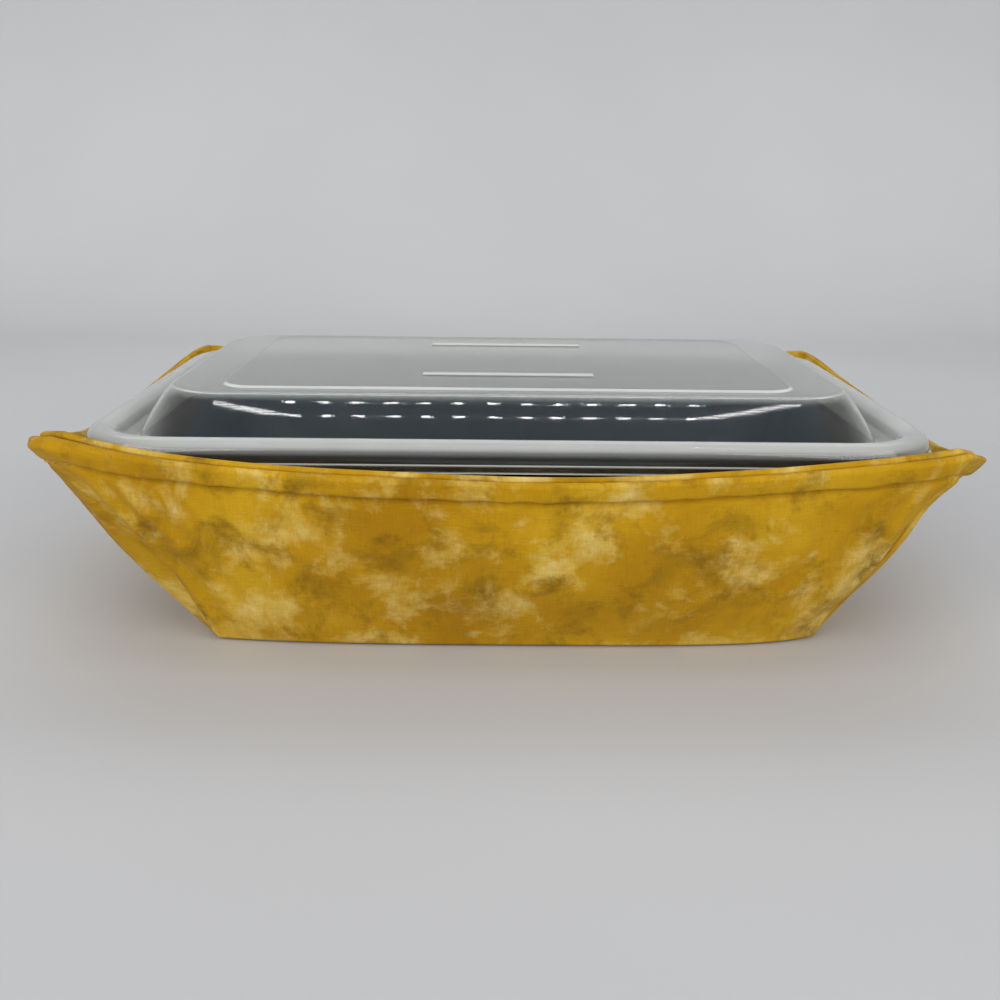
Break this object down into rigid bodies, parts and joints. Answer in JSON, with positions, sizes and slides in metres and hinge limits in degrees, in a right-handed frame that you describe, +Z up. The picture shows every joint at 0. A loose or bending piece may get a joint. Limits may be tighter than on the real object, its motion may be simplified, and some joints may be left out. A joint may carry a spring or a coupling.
{
  "type": "microwave container cozy",
  "caption": "Padded cotton tray with pointed corners and a topstitched rim, holding a lidded rectangular plastic food tray for the microwave.",
  "frame": {"origin": "middle of the flat sole that stands on the table", "axes": "+Z up, +X along the long side, -Y towards the front"},
  "size_m": [0.2386, 0.176, 0.0673],
  "materials": {
    "cover_cloth": "matte printed cotton",
    "lining_cloth": "matte printed cotton",
    "batting": "loose cotton wadding",
    "thread": "spun cotton thread",
    "tray_plastic": "black moulded polypropylene",
    "lid_plastic": "clear, slightly hazy polypropylene"
  },
  "bodies": {
    "cozy": {"outer_cover": "cover_cloth", "outer_batting": "batting", "inner_batting": "batting", "lining": "lining_cloth", "rim_seam_allowance": "lining_cloth", "topstitch_outer": "thread", "topstitch_inner": "thread", "cover_dart_seam_front_left": "thread", "cover_dart_seam_front_right": "thread", "cover_dart_seam_back_left": "thread", "cover_dart_seam_back_right": "thread", "lining_dart_seam_front_left": "thread", "lining_dart_seam_front_right": "thread", "lining_dart_seam_back_left": "thread", "lining_dart_seam_back_right": "thread"},
    "tray": {"food_tray": "tray_plastic"},
    "lid": {"lid": "lid_plastic"}
  },
  "joints": [
    {"name": "tray_lift", "type": "slide", "parent": "cozy", "child": "tray", "axis": [0, 0, 1], "range_m": [0, 0.08]},
    {"name": "lid_lift", "type": "slide", "parent": "tray", "child": "lid", "axis": [0, 0, 1], "range_m": [0, 0.06]}
  ]
}
